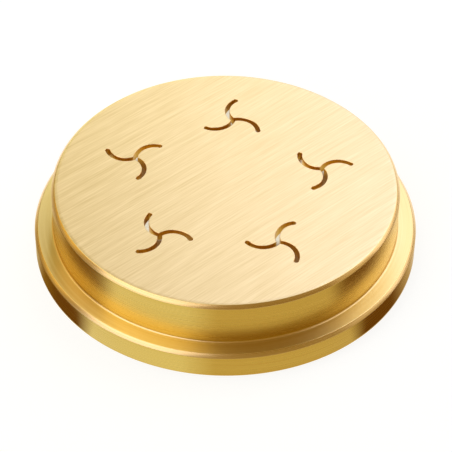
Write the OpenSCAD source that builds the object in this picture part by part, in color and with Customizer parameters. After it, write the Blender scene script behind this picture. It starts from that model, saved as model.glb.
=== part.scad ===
// Pasta extrusion die: a turned brass disc with swirl slots for twisted short pasta.
// The outlet face looks up (+Z), and the flange's underside lies on z = 0.

/* [Turned disc] */
// Diameter of the boss that fills the ring nut's opening
boss_diameter = 54.1; // [46:0.1:80]
// Height of the boss above the flange
boss_height = 7.3; // [4:0.1:16]
// Width of the ledge round the boss that the ring nut bears on
ledge_width = 2.95; // [1.5:0.05:8]
// Thickness of the flange
flange_thickness = 4.15; // [2.5:0.05:8]
// Edge break round the outlet face
boss_chamfer = 0.5; // [0.2:0.05:1]
// Edge break round the flange's upper rim
flange_chamfer = 0.5; // [0.2:0.05:1]
// Fillet in the corner between the boss and the ledge
root_fillet = 0.3; // [0.1:0.05:0.6]

/* [Swirl slots] */
// Number of swirls round the die
swirl_count = 5; // [3:1:6]
// Radius of the circle that the swirls' centres lie on
pitch_radius = 15.4; // [12:0.1:20]
// Angle of the first swirl from +X
pattern_angle = 13.8; // [0:0.1:72]
// Number of curved arms in a swirl
arm_count = 3; // [2:1:4]
// Radius of an arm's arc, along the middle of the slot
arm_radius = 3.05; // [2.2:0.05:3.8]
// Angle that an arm's arc turns through
arm_sweep = 103; // [70:1:140]
// Width of the slot, which sets the wall of the pasta
slot_width = 0.7; // [0.5:0.05:1.2]
// How much wider than the slot the drilled hole at an arm's end is
end_relief = 0.04; // [0.02:0.01:0.2]
// Thickness of the land that the slots pass through
land_thickness = 1.5; // [1:0.1:3]

/* [Inlets] */
// Margin from a slot's end to the wall of the inlet behind it
inlet_margin = 0.4; // [0.2:0.05:1]
// Edge break at an inlet's mouth
inlet_chamfer = 0.5; // [0.2:0.05:1]

/* [Hidden] */
$fn = 96;

// How far a cutter runs past the face that it opens
overrun = 0.5;

boss_radius = boss_diameter / 2;
flange_radius = boss_radius + ledge_width;
height = flange_thickness + boss_height;
tip_radius = 2 * arm_radius * sin(arm_sweep / 2);
end_radius = (slot_width + end_relief) / 2;
inlet_radius = tip_radius + end_radius + inlet_margin;
inlet_depth = height - land_thickness;

// Half section of the disc, from its axis out to the rim
module half_section() {
    polygon([
        [0, 0],
        [flange_radius, 0],
        [flange_radius, flange_thickness - flange_chamfer],
        [flange_radius - flange_chamfer, flange_thickness],
        [boss_radius, flange_thickness],
        [boss_radius, height - boss_chamfer],
        [boss_radius - boss_chamfer, height],
        [0, height]
    ]);
    translate([boss_radius, flange_thickness])
        difference() {
            square(root_fillet);
            translate([root_fillet, root_fillet])
                circle(root_fillet);
        }
}

// Cutter for one arm: an arc whose chord runs from the swirl's centre out along +X, with a drilled end
module arm_cut() {
    cut_height = land_thickness + 2 * overrun;
    translate([0, 0, inlet_depth - overrun]) {
        translate([tip_radius / 2, -arm_radius * cos(arm_sweep / 2), 0])
            rotate(90 - arm_sweep / 2)
                rotate_extrude(angle = arm_sweep)
                    translate([arm_radius - slot_width / 2, 0])
                        square([slot_width, cut_height]);
        translate([tip_radius, 0, 0])
            cylinder(r = end_radius, h = cut_height);
    }
}

// Cutter for one swirl, with its first tip on +X
module swirl_cut() {
    for (arm = [0 : arm_count - 1])
        rotate(arm * 360 / arm_count)
            arm_cut();
}

// Cutter for one inlet: a flat-bottomed bore with a broken edge at its mouth
module inlet_cut() {
    translate([0, 0, -overrun])
        cylinder(r = inlet_radius, h = inlet_depth + overrun);
    translate([0, 0, -overrun])
        cylinder(
            r1 = inlet_radius + inlet_chamfer + overrun,
            r2 = inlet_radius,
            h = inlet_chamfer + overrun
        );
}

module die() {
    color("#D8B468")
        difference() {
            rotate_extrude()
                half_section();
            for (swirl = [0 : swirl_count - 1])
                rotate(pattern_angle + swirl * 360 / swirl_count)
                    translate([pitch_radius, 0, 0]) {
                        inlet_cut();
                        swirl_cut();
                    }
        }
}

die();
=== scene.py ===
# %% [markdown]
# # A pasta extrusion die in brushed and turned brass
# This lesson dresses a brass die for twisted short pasta. The real die is one piece of brass: a
# lathe turns its flange and boss, a belt brushes its outlet face, and swirl-shaped slots are cut
# through to the round inlets behind them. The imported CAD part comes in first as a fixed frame, so
# every size is already known.

# %% Load the frame
import math

import bmesh
import bpy
from mathutils import Matrix, Vector


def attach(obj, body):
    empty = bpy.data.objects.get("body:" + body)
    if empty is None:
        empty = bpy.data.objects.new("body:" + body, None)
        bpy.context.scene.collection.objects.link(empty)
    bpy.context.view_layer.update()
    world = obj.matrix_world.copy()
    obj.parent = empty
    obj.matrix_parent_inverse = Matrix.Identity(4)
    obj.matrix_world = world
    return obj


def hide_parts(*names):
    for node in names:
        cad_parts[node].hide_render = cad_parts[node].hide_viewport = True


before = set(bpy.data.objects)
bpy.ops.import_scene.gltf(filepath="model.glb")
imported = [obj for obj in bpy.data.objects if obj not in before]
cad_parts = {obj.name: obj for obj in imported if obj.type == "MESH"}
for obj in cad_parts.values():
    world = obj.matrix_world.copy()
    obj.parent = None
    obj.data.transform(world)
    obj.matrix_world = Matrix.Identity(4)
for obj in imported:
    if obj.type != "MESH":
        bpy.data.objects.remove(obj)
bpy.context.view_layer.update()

MM = 0.001

# %% [markdown]
# ## One swirl
# Each outlet is a swirl of three curved slots that meet in the middle. It could be a drawn
# polyline, but a cutter leaves true arcs, so each side of an arm is a spin of a single vertex: out
# along the inner arc, round the end, and back along the outer arc. Only the points where two of
# these arcs meet have to be worked out.

# %% Find where arcs meet and spin a vertex along one
AXIS = (0, 0, 1)
ARM_RADIUS, ARM_SWEEP = 3.05 * MM, math.radians(103)
TIP = Vector((2 * ARM_RADIUS * math.sin(ARM_SWEEP / 2), 0, 0))
ARM_CENTRE = Vector((TIP.x / 2, -ARM_RADIUS * math.cos(ARM_SWEEP / 2), 0))
print("an arm reaches", round(TIP.x / MM, 3), "mm from the swirl's middle")


def meeting_point(c1, r1, c2, r2):
    """Where two circles cross: the crossing nearer to the swirl's middle."""
    line = c2 - c1
    along = (line.length_squared + r1 * r1 - r2 * r2) / (2 * line.length)
    aside = Vector((-line.y, line.x, 0)).normalized() * math.sqrt(r1 * r1 - along * along)
    foot = c1 + line.normalized() * along
    return min(foot + aside, foot - aside, key=lambda point: point.length)


def arc(bm, start, centre, end, turn, steps):
    """Spins a vertex about a centre to an end point, and returns the last vertex.

    The spin runs anticlockwise where turn is 1, and clockwise where it is -1.
    """
    a, b = start.co - centre, end - centre
    angle = turn * ((math.atan2(b.y, b.x) - math.atan2(a.y, a.x)) * turn % math.tau)
    made = bmesh.ops.spin(bm, geom=[start], cent=centre, axis=AXIS, angle=angle, steps=steps)
    return next(g for g in made["geom_last"] if isinstance(g, bmesh.types.BMVert))


# %% [markdown]
# ## Closing the swirl
# The three arms are alike, so one is drawn and a spin with duplicates sets two more round the
# middle. Where they meet, the ends fall on each other, and merging doubles closes the outline to
# one loop. It is drawn twice: a little wider at the face, where use has rubbed the edge, and at the
# slot's own width just below.

# %% Draw a closed swirl
ARMS, MIDDLE = 3, Vector((0, 0, 0))
NEXT_ARM = Matrix.Rotation(math.tau / ARMS, 3, "Z")
SIDE_STEPS, END_STEPS = 18, 14
TOUCHING = 0.001 * MM


def swirl_outline(bm, half_width, end_radius, z):
    """Draws a closed swirl round the origin at a height, and returns its edges."""
    inner, outer = ARM_RADIUS - half_width, ARM_RADIUS + half_width
    inner_end = meeting_point(ARM_CENTRE, inner, TIP, end_radius)
    outer_end = meeting_point(ARM_CENTRE, outer, TIP, end_radius)
    root = meeting_point(ARM_CENTRE, inner, NEXT_ARM.inverted() @ ARM_CENTRE, outer)

    known = set(bm.verts)
    vert = bm.verts.new(root)
    vert = arc(bm, vert, ARM_CENTRE, inner_end, -1, SIDE_STEPS)
    vert = arc(bm, vert, TIP, outer_end, 1, END_STEPS)
    arc(bm, vert, ARM_CENTRE, NEXT_ARM @ root, 1, SIDE_STEPS)
    arm = [v for v in bm.verts if v not in known]
    arm_edges = [e for e in bm.edges if known.isdisjoint(e.verts)]
    bmesh.ops.spin(bm, geom=arm + arm_edges, cent=MIDDLE, axis=AXIS,
                   angle=math.tau * (ARMS - 1) / ARMS, steps=ARMS - 1, use_duplicate=True)

    outline = [v for v in bm.verts if v not in known]
    bmesh.ops.translate(bm, verts=outline, vec=(0, 0, z))
    bmesh.ops.remove_doubles(bm, verts=outline, dist=TOUCHING)
    return [e for e in bm.edges if known.isdisjoint(e.verts)]


HEIGHT, LAND = 11.45 * MM, 1.5 * MM
SLOT_HALF, END_RADIUS, RUBBED = 0.35 * MM, 0.37 * MM, 0.05 * MM
passage = bmesh.new()
rim = swirl_outline(passage, SLOT_HALF + RUBBED, END_RADIUS + RUBBED, HEIGHT)
slot = swirl_outline(passage, SLOT_HALF, END_RADIUS, HEIGHT - RUBBED)
print("outlines at the face and under the rubbed edge:", len(rim), "and", len(slot), "edges")

# %% [markdown]
# ## The slot through the land
# Dough leaves through a thin land that the slots cut. The two outlines are bridged for the rubbed
# edge, and the lower one is extruded down for the slot's walls. A boolean would cut this too, but
# extruded rings leave clean rows of faces, and each row can take its finish as it is made.

# %% Extrude the slot
FACE, TURNED, EDGE, SLOT, INLET, FACED = range(6)


def paint(bm, done, index):
    """Gives the faces made since the last call one material slot, and returns all faces so far."""
    for face in bm.faces:
        if face not in done:
            face.material_index = index
    return set(bm.faces)


def drop_edges(bm, edges, z):
    """Extrudes a ring of edges straight down to a height, and returns its edges and vertices."""
    made = bmesh.ops.extrude_edge_only(bm, edges=edges)["geom"]
    verts = [g for g in made if isinstance(g, bmesh.types.BMVert)]
    bmesh.ops.translate(bm, verts=verts, vec=(0, 0, z - verts[0].co.z))
    return [g for g in made if isinstance(g, bmesh.types.BMEdge)], verts


bmesh.ops.bridge_loops(passage, edges=rim + slot)
# The rubbed edge takes the chamfers' brass, whose paler tones are a painted highlight
done = paint(passage, set(), EDGE)
slot_foot, _ = drop_edges(passage, slot, HEIGHT - LAND)
done = paint(passage, done, SLOT)
print("one slot:", len(passage.faces), "faces through a land of", round(LAND / MM, 2), "mm")

# %% [markdown]
# ## The inlet behind it
# Dough enters by a round, flat-bottomed bore with a broken edge at its mouth. A circle is filled
# against the foot of the slot for the bore's ceiling, dropped for its wall and scaled at the mouth.
# A cylinder would have to be cut open for the slot, and here the two meet on shared edges.

# %% Bore the inlet
TIP_CLEARANCE, MOUTH, INLET_STEPS = 0.4 * MM, 0.5 * MM, 96
INLET_RADIUS = TIP.x + END_RADIUS + TIP_CLEARANCE
ceiling = Matrix.Translation((0, 0, HEIGHT - LAND))
circle = set(bmesh.ops.create_circle(passage, cap_ends=False, radius=INLET_RADIUS,
                                     segments=INLET_STEPS, matrix=ceiling)["verts"])
ring = [e for e in passage.edges if circle.issuperset(e.verts)]
bmesh.ops.triangle_fill(passage, use_beauty=True, edges=slot_foot + ring, normal=(0, 0, -1))
ring, _ = drop_edges(passage, ring, MOUTH)
_, mouth_verts = drop_edges(passage, ring, 0)
flare = (INLET_RADIUS + MOUTH) / INLET_RADIUS
bmesh.ops.scale(passage, verts=mouth_verts, vec=(flare, flare, 1))
paint(passage, done, INLET)
print("one passage:", len(passage.faces), "faces, inlet radius", round(INLET_RADIUS / MM, 3), "mm")

# %% [markdown]
# ## Five passages
# The swirls sit on one pitch circle and turn with it, so that a tip of each points straight
# outwards, as parts do on an indexing table. Five separate builds would also work; a spin with
# duplicates keeps the spacing exact.

# %% Copy the passage round the die
PITCH_RADIUS, PATTERN_ANGLE, SWIRLS = 15.4 * MM, math.radians(13.8), 5
bmesh.ops.translate(passage, verts=passage.verts, vec=(PITCH_RADIUS, 0, 0))
bmesh.ops.rotate(passage, verts=passage.verts, cent=MIDDLE,
                 matrix=Matrix.Rotation(PATTERN_ANGLE, 3, "Z"))
bmesh.ops.spin(passage, geom=passage.verts[:] + passage.edges[:] + passage.faces[:], cent=MIDDLE,
               axis=AXIS, angle=math.tau * (SWIRLS - 1) / SWIRLS, steps=SWIRLS - 1,
               use_duplicate=True)
passages = bpy.data.meshes.new("passages")
passage.to_mesh(passages)
print("five passages:", len(passages.polygons), "faces")

# %% [markdown]
# ## The half section
# On the lathe the flange, the ledge, the boss and their edge breaks come from one tool path. The
# disc could be a stack of cylinders, but then every corner would need joining. Here the half
# section is drawn once as a short chain of corners, and a vertex bevel breaks them. The chain stops
# a little inside both rims, where the flat plates take over.

# %% Draw the half section
FLANGE_RADIUS, FLANGE_HEIGHT, BOSS_RADIUS = 30 * MM, 4.15 * MM, 27.05 * MM
UNDERSIDE_RIM, FACE_RIM = 28 * MM, 26 * MM
FILLET, CHAMFER, SOFTENED = 0.3 * MM, 0.5 * MM, 0.06 * MM
SECTION = [(UNDERSIDE_RIM, 0), (FLANGE_RADIUS, 0), (FLANGE_RADIUS, FLANGE_HEIGHT),
           (BOSS_RADIUS, FLANGE_HEIGHT), (BOSS_RADIUS, HEIGHT), (FACE_RIM, HEIGHT)]


def break_corners(bm, corners, size, segments):
    """Bevels corners of a wire chain, and returns the new ones: one segment makes a chamfer."""
    known = set(bm.verts)
    bmesh.ops.bevel(bm, geom=corners, offset=size, offset_type="OFFSET", affect="VERTICES",
                    segments=segments, profile=0.5, material=-1)
    return [v for v in bm.verts if v not in known]


bm = bmesh.new()
chain = [bm.verts.new((r, 0, z)) for r, z in SECTION]
for a, b in zip(chain, chain[1:]):
    bm.edges.new((a, b))
_, lower_edge, flange_edge, boss_foot, boss_edge, _ = chain
break_corners(bm, [boss_foot], FILLET, 6)
chamfer_ends = break_corners(bm, [flange_edge, boss_edge], CHAMFER, 1)
break_corners(bm, chamfer_ends + [lower_edge], SOFTENED, 2)
print("half section:", sorted((round(v.co.x / MM, 2), round(v.co.z / MM, 2)) for v in bm.verts))

# %% [markdown]
# ## The turned disc
# A full spin turns the chain, as the lathe does. A Screw modifier would turn it too, but the rims
# have to be real edges now, for the plates that close them. How far a face looks up tells which
# tool made it: the flat ones are faced, the sloping ones are edge breaks, and the rest is wall.

# %% Turn the section
LATHE_STEPS, FLAT, SLOPING = 288, 0.95, 0.5
bmesh.ops.spin(bm, geom=bm.verts[:] + bm.edges[:], cent=MIDDLE, axis=AXIS, angle=math.tau,
               steps=LATHE_STEPS, use_merge=True)
bmesh.ops.remove_doubles(bm, verts=bm.verts, dist=TOUCHING)
for face in bm.faces:
    slope = abs(face.normal.z)
    face.material_index = FACED if slope > FLAT else EDGE if slope > SLOPING else TURNED
print("turned disc:", len(bm.faces), "faces")

# %% [markdown]
# ## Joining the two
# The outlet face and the underside are flat plates with five openings. They could be cut out with
# booleans; here the open rims at each height are simply filled, because both the disc and the
# passages already end on them. Doubles are merged first, and the normals are recalculated last, on
# the closed shell. The disc's own narrow ring of the outlet face is brushed with the rest.

# %% Fill the outlet face and the underside
LEVEL = 0.999
bm.from_mesh(passages)
done = set(bm.faces)
for z, index in ((HEIGHT, FACE), (0, FACED)):
    rims = [e for e in bm.edges
            if e.is_boundary and all(abs(v.co.z - z) < TOUCHING for v in e.verts)]
    bmesh.ops.triangle_fill(bm, use_beauty=True, edges=rims, normal=(0, 0, 1 if z else -1))
    done = paint(bm, done, index)
bmesh.ops.remove_doubles(bm, verts=bm.verts, dist=TOUCHING)
bmesh.ops.recalc_face_normals(bm, faces=bm.faces)
for face in bm.faces:
    face.smooth = True
    if face.normal.z > LEVEL and face.calc_center_median().z > HEIGHT - TOUCHING:
        face.material_index = FACE
open_edges = sum(len(e.link_faces) != 2 for e in bm.edges)
print("die:", len(bm.faces), "faces,", open_edges, "open edges,",
      round(bm.calc_volume() / MM**3, 1), "cubic mm")

# %% [markdown]
# ## The die as an object
# The closed shell becomes one object that stands for the CAD node, since the real die is one piece.
# Corners sharper than 32 degrees stay crisp, and weighted normals keep the large flat faces flat
# beside the tiny rounded edges. Splitting the edges would do that too, but it would open the shell.

# %% Make the object
CRISP = math.radians(32)
die_mesh = bpy.data.meshes.new("pasta_die")
bm.to_mesh(die_mesh)
die_mesh.set_sharp_from_angle(angle=CRISP)
die = bpy.data.objects.new("pasta_die", die_mesh)
bpy.context.scene.collection.objects.link(die)
weighted = die.modifiers.new("flat faces stay flat", "WEIGHTED_NORMAL")
weighted.keep_sharp = True
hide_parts("die")
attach(die, "root")
print("pasta_die:", len(die_mesh.vertices), "vertices")

# %% [markdown]
# ## Three helpers for materials
# A shader reads linear colour, while colours are known as sRGB hex values, so one function converts
# them. A second one adds a node with its settings and links, which keeps each finish below short
# enough to read, and a third starts a material without the nodes that Blender puts in.

# %% Convert a colour, add a node and start a material


def linear(hex_colour):
    """An sRGB hex value as the linear colour that a shader reads."""
    parts = [int(hex_colour[i:i + 2], 16) / 255 for i in (1, 3, 5)]
    return [p / 12.92 if p <= 0.04045 else ((p + 0.055) / 1.055) ** 2.4 for p in parts] + [1]


def add(tree, kind, settings=(), links=()):
    """Adds one shader node, sets its properties and sockets by name or number, and links it."""
    node = tree.nodes.new("ShaderNode" + kind)
    for name, value in dict(settings).items():
        if isinstance(name, str) and hasattr(node, name):
            setattr(node, name, value)
        else:
            node.inputs[name].default_value = value
    for name, output in dict(links).items():
        tree.links.new(output, node.inputs[name])
    return node


def empty_material(name, mesh):
    """Adds a material without nodes to a mesh, and returns its node tree."""
    material = bpy.data.materials.new(name)
    material.use_nodes = True
    material.node_tree.nodes.clear()
    mesh.materials.append(material)
    return material.node_tree


print("brass yellow in linear colour:", [round(x, 3) for x in linear("#DAB15C")])

# %% [markdown]
# ## Brass and its tool marks
# The whole die is one brass, and its finishes differ in the marks that the last tool left and in a
# pair of tones. The tones carry painted light and shade: faces that lie towards the lamps are
# painted paler, and walls and hollows deeper. Six unrelated materials would drift apart, so each
# finish draws its own marks as a value from 0 to 1, and one function turns them into brass: the
# tone, the roughness and a little relief follow the marks, and reflections stretch across them.

# %% Start a brass and dress it with marks
# A Mix node's two colours are its sockets 6 and 7, and the mixed colour is its output 2
COLOUR_A, COLOUR_B, MIXED_COLOUR = 6, 7, 2
# A highlight stretches along the tangent, and a quarter turn sets it across the marks
RELIEF_STRENGTH, QUARTER_TURN = 0.5, 0.25


def brass(name):
    """An empty brass in the die's next slot: its node tree and its Object coordinates."""
    tree = empty_material(name, die_mesh)
    return tree, add(tree, "TexCoord").outputs["Object"]


def dress(tree, marks, tones, dull, relief, along, stretch):
    """Brass with tool marks.

    It has a tone and a roughness for the marks' low and high values, a relief in mm, the direction
    that the marks run in and how far they stretch a highlight.
    """
    tone = add(tree, "Mix", {"data_type": "RGBA", COLOUR_A: linear(tones[0]),
                             COLOUR_B: linear(tones[1])}, {"Factor": marks})
    rough = add(tree, "MapRange", {"To Min": dull[0], "To Max": dull[1]}, {"Value": marks})
    bump = add(tree, "Bump", {"Strength": RELIEF_STRENGTH, "Distance": relief * MM},
               {"Height": marks})
    shader = add(tree, "BsdfPrincipled", {"Metallic": 1, "Anisotropic": stretch,
                                          "Anisotropic Rotation": QUARTER_TURN},
                 {"Base Color": tone.outputs[MIXED_COLOUR], "Roughness": rough.outputs[0],
                  "Normal": bump.outputs[0], "Tangent": along})
    add(tree, "OutputMaterial", (), {"Surface": shader.outputs[0]})
    print(die_mesh.materials[-1].name, "has", len(tree.nodes), "nodes")


print("finishes to draw, one for each kind of face:", FACED + 1)

# %% [markdown]
# ## The brushed outlet face
# The face is rubbed on a belt, which draws straight hairlines across it at a slant. Real grit lines
# are about a twentieth of a millimetre wide and would blur away, so they are drawn coarser, as fine
# lines with broad bands under them. A scratch image could do this, but stretched noise never
# repeats and follows the object.

# %% Brushed brass
BRUSH_ANGLE, BAND_SHARE = math.radians(42), 0.4
# Length and width in mm
FINE_LINES, BROAD_BANDS = (7, 0.22), (22, 0.75)
# Noise seldom leaves the range from 0.34 to 0.66, so that range is spread from 0 to 1
NOISE, SPREAD = {"Scale": 1, "Detail": 2}, {"From Min": 0.34, "From Max": 0.66}

tree, place = brass("brass_belt_brushed")
layers = []
for length, width in (FINE_LINES, BROAD_BANDS):
    cells = add(tree, "Mapping", {"vector_type": "TEXTURE", "Rotation": (0, 0, BRUSH_ANGLE),
                                  "Scale": (length * MM, width * MM, 1)}, {"Vector": place})
    layers.append(add(tree, "TexNoise", {**NOISE, "Roughness": 0.6}, {"Vector": cells.outputs[0]}))
both = add(tree, "Mix", {"Factor": BAND_SHARE},
           {"A": layers[0].outputs[0], "B": layers[1].outputs[0]})
marks = add(tree, "MapRange", SPREAD, {"Value": both.outputs[0]})
along = add(tree, "CombineXYZ", {"X": math.cos(BRUSH_ANGLE), "Y": math.sin(BRUSH_ANGLE)})
# The pale, even tones are painted light for a face that lies towards the lamps, and the brushing
# stretches light across the lines into a silky streak
dress(tree, marks.outputs[0], ("#DECDA9", "#F3E5CB"), (0.33, 0.4), 0.004, along.outputs[0], 0.6)

# %% [markdown]
# ## The turned walls
# The boss and the rim are turned walls. The tool leaves rings a fifth of a millimetre apart, too
# shallow to see one by one, but they smear reflections up and down into soft columns. At that
# spacing they would flicker in a picture of this size, so they are drawn twice as wide. Rings could
# be a wave texture, but real feed lines vary, so noise is squeezed along the section, whose
# position is the radius less the height.

# %% Ring marks and turned brass
# In mm: how far a mark runs round before it changes, and how far apart the rings are
RING_RUN, WALL_RINGS = 40, 0.4


def ring_marks(tree, place, spacing):
    """Rings round the die's axis as a value from 0 to 1, and the direction that they run in."""
    parts = add(tree, "SeparateXYZ", (), {0: place})
    level = add(tree, "VectorMath", {"operation": "MULTIPLY", 1: (1, 1, 0)}, {0: place})
    radius = add(tree, "VectorMath", {"operation": "LENGTH"}, {0: level.outputs[0]})
    section = add(tree, "Math", {"operation": "SUBTRACT"},
                  {0: radius.outputs["Value"], 1: parts.outputs["Z"]})
    unrolled = add(tree, "CombineXYZ", (), {"X": parts.outputs["X"], "Y": parts.outputs["Y"],
                                            "Z": section.outputs[0]})
    cells = add(tree, "Mapping", {"vector_type": "TEXTURE",
                                  "Scale": (RING_RUN * MM, RING_RUN * MM, spacing * MM)},
                {"Vector": unrolled.outputs[0]})
    noise = add(tree, "TexNoise", NOISE, {"Vector": cells.outputs[0]})
    marks = add(tree, "MapRange", SPREAD, {"Value": noise.outputs[0]})
    round_axis = add(tree, "VectorMath", {"operation": "CROSS_PRODUCT", 0: AXIS}, {1: place})
    return marks.outputs[0], round_axis.outputs[0]


tree, place = brass("brass_turned_satin")
marks, along = ring_marks(tree, place, WALL_RINGS)
# The deep brass yellow is painted shade for walls that face away from the lamps, with dark columns
# where the surroundings are dark
dress(tree, marks, ("#D8B053", "#DDB659"), (0.265, 0.28), 0.0006, along, 0.6)

# %% [markdown]
# ## The broken edges
# The chamfers are the last light cut of a sharp tool, so their rings are finer, and they catch a
# bright line of light. They could share the walls' finish, but that line is what shows the edge, so
# their tones are painted paler, a painted highlight that keeps the line pale.

# %% Chamfered brass
CHAMFER_RINGS = 0.2
tree, place = brass("brass_chamfered")
marks, along = ring_marks(tree, place, CHAMFER_RINGS)
# The paler tones are a painted highlight, so that the bright line on the edge looks pale
dress(tree, marks, ("#EFCC90", "#F9DDAC"), (0.25, 0.32), 0.001, along, 0.6)

# %% [markdown]
# ## The cut slots
# A fine wire cuts the slots and leaves streaks along the wire, down through the land, on a slightly
# matt wall. Real streaks are a few hundredths of a millimetre wide, so they are drawn coarser. The
# slots could be painted black, but light bounces several times between their walls, and each bounce
# takes some blue and green away. The brown that shows comes from that and from a deeper tone, which
# is painted shade in the narrow slots.

# %% Wire-cut brass
# In mm
STREAK_WIDTH, STREAK_LENGTH = 0.15, 2
tree, place = brass("brass_wire_cut")
cells = add(tree, "Mapping", {"vector_type": "TEXTURE",
                              "Scale": (STREAK_WIDTH * MM, STREAK_WIDTH * MM, STREAK_LENGTH * MM)},
            {"Vector": place})
noise = add(tree, "TexNoise", NOISE, {"Vector": cells.outputs[0]})
along = add(tree, "CombineXYZ", {"Z": 1})
# The deeper, more golden tones are painted shade in the narrow slots, on top of the shade that the
# bounces give
dress(tree, noise.outputs[0], ("#DFA236", "#FDD868"), (0.24, 0.34), 0.003, along.outputs[0], 0.3)

# %% [markdown]
# ## The bored inlets
# A drill opens the inlets and leaves a dull, ringed wall, and a flat cutter then squares the bottom
# and smooths the last few millimetres under the land. Two materials would need a seam, so one shows
# both by height, with rings a quarter of a millimetre apart. The same height carries painted light:
# the drilled wall is painted a dark brown shade, and the smooth wall a nearly white, painted
# reflection. The rings' direction follows from the wall itself: the cross product of the die's axis
# and the wall's normal runs round every bore, so one material serves all five.

# %% Bored brass
# In mm: the run and spacing of the rings, and the heights between which the wall turns smooth and
# its painted shade turns into a painted pale reflection
BORE_RUN, BORE_RINGS = 20, 0.25
SMOOTH_PAINTED_LIGHT_FROM, SMOOTH_PAINTED_LIGHT_ABOVE, SMOOTH_PAINTED_LIGHT_SHARE = 4.8, 6.6, 0.92
tree, place = brass("brass_bored")
cells = add(tree, "Mapping", {"vector_type": "TEXTURE",
                              "Scale": (BORE_RUN * MM, BORE_RUN * MM, BORE_RINGS * MM)},
            {"Vector": place})
noise = add(tree, "TexNoise", NOISE, {"Vector": cells.outputs[0]})
height = add(tree, "SeparateXYZ", (), {0: place}).outputs["Z"]
# The height both smooths the wall and paints its tone, from painted shade low down to a painted
# reflection under the land
smooth_painted_light = add(tree, "MapRange", {"From Min": SMOOTH_PAINTED_LIGHT_FROM * MM, "From Max": SMOOTH_PAINTED_LIGHT_ABOVE * MM},
               {"Value": height})
marks = add(tree, "Mix", {"Factor": SMOOTH_PAINTED_LIGHT_SHARE},
            {"A": noise.outputs[0], "B": smooth_painted_light.outputs[0]})
normal = add(tree, "NewGeometry").outputs["Normal"]
along = add(tree, "VectorMath", {"operation": "CROSS_PRODUCT", 0: AXIS}, {1: normal})
# The drilled wall is dull and painted a deep brown shade, and the smooth one is painted nearly
# white, a painted reflection that shows as pale slivers through the slots
dress(tree, marks.outputs[0], ("#8A5A1C", "#FFF7E0"), (0.42, 0.14), 0.002, along.outputs[0], 0.3)

# %% [markdown]
# ## The faced ledge and underside
# These flat faces are cut with the tool running inwards, so their marks are rings too. They could
# have marks of their own, but the same function draws them, because it follows the section round
# the corner. They lie towards the light, and their tones are painted paler than the walls', as
# painted light.

# %% Faced brass
FACED_RINGS = 0.4
tree, place = brass("brass_faced")
marks, along = ring_marks(tree, place, FACED_RINGS)
# The pale, even tones are painted light, and the stretched reflection swings round the ledge
dress(tree, marks, ("#EDDFA7", "#F6EABA"), (0.28, 0.33), 0.002, along, 0.6)

# %% [markdown]
# ## The floor
# A plain sheet of white paper carries the die. Paper lit to pure white would need lamps that bleach
# the brass, so part of its brightness is a glow that only the camera and reflections see, and the
# rest is ordinary matt shading, which keeps the die's faint shadow.

# %% White floor
FLOOR_REACH, FLOOR_GLOW, PAPER = 1.5, 0.83, "#848B95"


def stage_sheet(name, sheet_bm, material_name):
    """Makes a stage object from a mesh, and returns it with its material's empty node tree."""
    mesh = bpy.data.meshes.new(name)
    sheet_bm.to_mesh(mesh)
    tree = empty_material(material_name, mesh)
    sheet = bpy.data.objects.new(name, mesh)
    bpy.context.scene.collection.objects.link(sheet)
    return sheet, tree


floor_bm = bmesh.new()
bmesh.ops.create_grid(floor_bm, x_segments=1, y_segments=1, size=FLOOR_REACH)
floor, tree = stage_sheet("floor", floor_bm, "paper_matt_white")
matt = add(tree, "BsdfDiffuse", {"Color": linear(PAPER)})
rays = add(tree, "LightPath").outputs
seen = rays["Is Camera Ray"]
for ray in ("Is Glossy Ray", "Is Transmission Ray"):
    seen = add(tree, "Math", {"operation": "MAXIMUM"}, {0: seen, 1: rays[ray]}).outputs[0]
level = add(tree, "Math", {"operation": "MULTIPLY", 1: FLOOR_GLOW}, {0: seen})
glow = add(tree, "Emission", {"Color": (1, 1, 1, 1)}, {"Strength": level.outputs[0]})
paper = add(tree, "AddShader", (), {0: matt.outputs[0], 1: glow.outputs[0]})
add(tree, "OutputMaterial", (), {"Surface": paper.outputs[0]})
print("floor:", floor.dimensions.x, "m wide")

# %% [markdown]
# ## The room
# Metal shows what stands round it, and in the gaps between the lamps it shows the room. A black
# room would leave black patches on the brass, and a white one would bleach it, so the room is dim
# and warm.

# %% Dim, warm room
ROOM_TINT, ROOM_LEVEL = "#FFD470", 0.31
world = bpy.data.worlds.new("studio")
world.use_nodes = True
bpy.context.scene.world = world
room = world.node_tree.nodes["Background"].inputs
room["Color"].default_value = linear(ROOM_TINT)
room["Strength"].default_value = ROOM_LEVEL
print("room:", [round(x * ROOM_LEVEL, 2) for x in linear(ROOM_TINT)[:3]], "in linear light")

# %% [markdown]
# ## Soft light
# The light is a ring of large, even lamps: the face mirrors the one behind, and the edges and the
# ledge mirror the ones at the sides. A single key light would leave brass dull where it mirrors
# nothing. The lamps hardly overlap, because brass bleaches where it mirrors two at once.

# %% Softboxes
LAMP_DISTANCE, AIM_HEIGHT = 0.5, 6 * MM


def direction(azimuth, elevation):
    """A unit vector from the die, with the azimuth in degrees from the front towards the right."""
    a, e = math.radians(azimuth), math.radians(elevation)
    return Vector((math.sin(a) * math.cos(e), -math.cos(a) * math.cos(e), math.sin(e)))


def softbox(name, azimuth, elevation, width, height, level, tint):
    """A flat lamp that faces the die: angles in degrees, sizes in metres, level 1 looks white."""
    lamp = bpy.data.lights.new(name, "AREA")
    lamp.shape, lamp.size, lamp.size_y = "RECTANGLE", width, height
    lamp.color = linear(tint)[:3]
    lamp.energy = level / lamp.color[0] * math.pi * width * height
    away = direction(azimuth, elevation)
    box = bpy.data.objects.new(name, lamp)
    box.location = away * LAMP_DISTANCE + Vector((0, 0, AIM_HEIGHT))
    box.rotation_euler = away.to_track_quat("Z", "Y").to_euler()
    bpy.context.scene.collection.objects.link(box)
    print(name, "at", [round(x, 2) for x in box.location])


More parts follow.
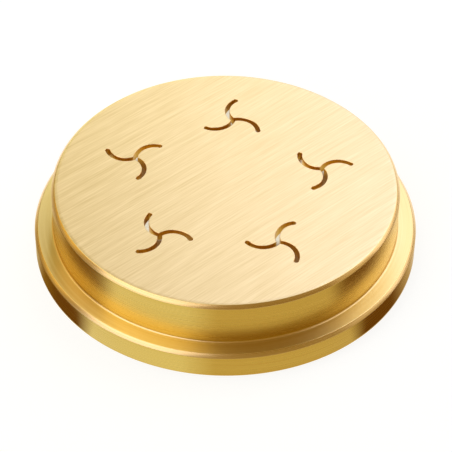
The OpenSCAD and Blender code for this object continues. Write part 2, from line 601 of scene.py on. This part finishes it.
WHITE, COOL, CREAM, WARM, AMBER = "#FFFFFF", "#F2F5FF", "#FFF6D2", "#FFF8B0", "#FFDC78"
softbox("right softbox", 118, 38, 0.4, 0.56, 1.06, WHITE)
softbox("right front softbox", 80, 26, 0.2, 0.16, 0.36, CREAM)
softbox("back softbox", 162, 38, 0.3, 0.46, 1.04, COOL)
softbox("back left softbox", -167, 20, 0.22, 0.32, 1.05, WARM)
softbox("left front softbox", -50, 40, 0.46, 0.46, 1.2, WHITE)
softbox("left softbox", -118, 31, 0.36, 0.3, 0.62, AMBER)
softbox("high left softbox", -116, 66, 0.42, 0.3, 1.16, CREAM)

# %% [markdown]
# ## Toned cards
# A turned wall mirrors the table in front of it, and on a bare white table it would look flat. A
# product photographer lays toned cards round the object, outside the picture, to give a metal wall
# its dark and light columns. A card could be a plain rectangle, but a wall that curves sweeps
# across the floor like a hand of a clock, so each card is a fan that only reflections see.

# %% Cut a fan of card
CARD_REACH, CARD_STEPS = 0.2, 32


def card_fan(name, corner, first, last):
    """A fan of card on the floor from one azimuth to another, as its material's empty node tree."""
    fan = bmesh.new()
    ends = [fan.verts.new(corner), fan.verts.new(corner + CARD_REACH * direction(first, 0))]
    bmesh.ops.spin(fan, geom=ends + [fan.edges.new(ends)], cent=corner, axis=AXIS,
                   angle=math.radians(last - first), steps=CARD_STEPS)
    bmesh.ops.remove_doubles(fan, verts=fan.verts, dist=TOUCHING)
    card, tree = stage_sheet(name, fan, "card_" + name)
    card.visible_camera = card.visible_diffuse = card.visible_shadow = False
    print(name, "sweeps", last - first, "degrees")
    return tree


# %% [markdown]
# ## The cards' shades
# A card in one colour would give the columns hard edges, while those on a satin wall are soft. A
# gradient image could shade it, but a radial gradient already counts the azimuth round the card's
# corner, from 0 to 1 in a full turn, and a colour ramp sets the tones along it.

# %% Shade the cards
CARD_LEVEL = 1.2


def toned_card(name, corner, lift, tones):
    """A card with its corner and lift in mm, shaded from tone to tone by azimuth."""
    corner = Vector((corner[0] * MM, corner[1] * MM, lift * MM))
    tree = card_fan(name, corner, tones[0][0], tones[-1][0])
    place = add(tree, "TexCoord").outputs["Object"]
    turned = add(tree, "Mapping", {"vector_type": "TEXTURE", "Location": corner,
                                   "Rotation": (0, 0, -math.pi / 2)}, {"Vector": place})
    sweep = add(tree, "TexGradient", {"gradient_type": "RADIAL"}, {"Vector": turned.outputs[0]})
    shades = add(tree, "ValToRGB", (), {"Fac": sweep.outputs["Fac"]})
    stops = shades.color_ramp.elements
    positions = [0.5 + azimuth / 360 for azimuth, _ in tones]
    for position in positions[1:-1]:
        stops.new(position)
    for stop, position, (_, tone) in zip(stops, positions, tones):
        stop.position, stop.color = position, linear(tone)
    glow = add(tree, "Emission", {"Strength": CARD_LEVEL}, {"Color": shades.outputs["Color"]})
    add(tree, "OutputMaterial", (), {"Surface": glow.outputs[0]})


PALE, BEIGE, BROWN = "#EAF5FF", "#CEC8AC", "#6A4818"
STRAW, SAND, OCHRE = "#DACFA2", "#BCA87A", "#866824"
toned_card("front_card", (0, -17), 0.1,
           [(-90, PALE), (-28, PALE), (-6, BEIGE), (90, BEIGE)])
toned_card("left_card", (-15.4, -21), 0.2,
           [(-176, WHITE), (-150, WHITE), (-141, STRAW), (-130, OCHRE), (-119, BROWN),
            (-98, BROWN), (-75, PALE), (-60, PALE)])
toned_card("right_card", (13.7, -21), 0.2,
           [(62, BEIGE), (70, BEIGE), (90, BROWN), (115, BROWN), (129, SAND),
            (145, WHITE), (172, WHITE)])

# %% [markdown]
# ## The camera
# The camera looks down on the die from the front with a long lens, as a product camera does. A
# short lens close by would spread the near rim. Its height and distance follow from how flat the
# rims' ellipses look and how much smaller the far side is than the near side.

# %% Camera
LENS, SENSOR = 163.92, 36
CAMERA_PLACE = (0.103 * MM, -237.85 * MM, 224.70 * MM)
ELEVATION, ROLL = math.radians(43.064), math.radians(0.478)
camera_data = bpy.data.cameras.new("camera")
camera_data.lens, camera_data.sensor_width = LENS, SENSOR
camera = bpy.data.objects.new("camera", camera_data)
camera.matrix_world = (Matrix.Translation(CAMERA_PLACE)
                       @ Matrix.Rotation(math.pi / 2 - ELEVATION, 4, "X")
                       @ Matrix.Rotation(ROLL, 4, "Z"))
bpy.context.scene.collection.objects.link(camera)
bpy.context.scene.camera = camera
bpy.context.scene.view_settings.view_transform = "Standard"
print("camera", round(camera.location.length, 3), "m from the die")
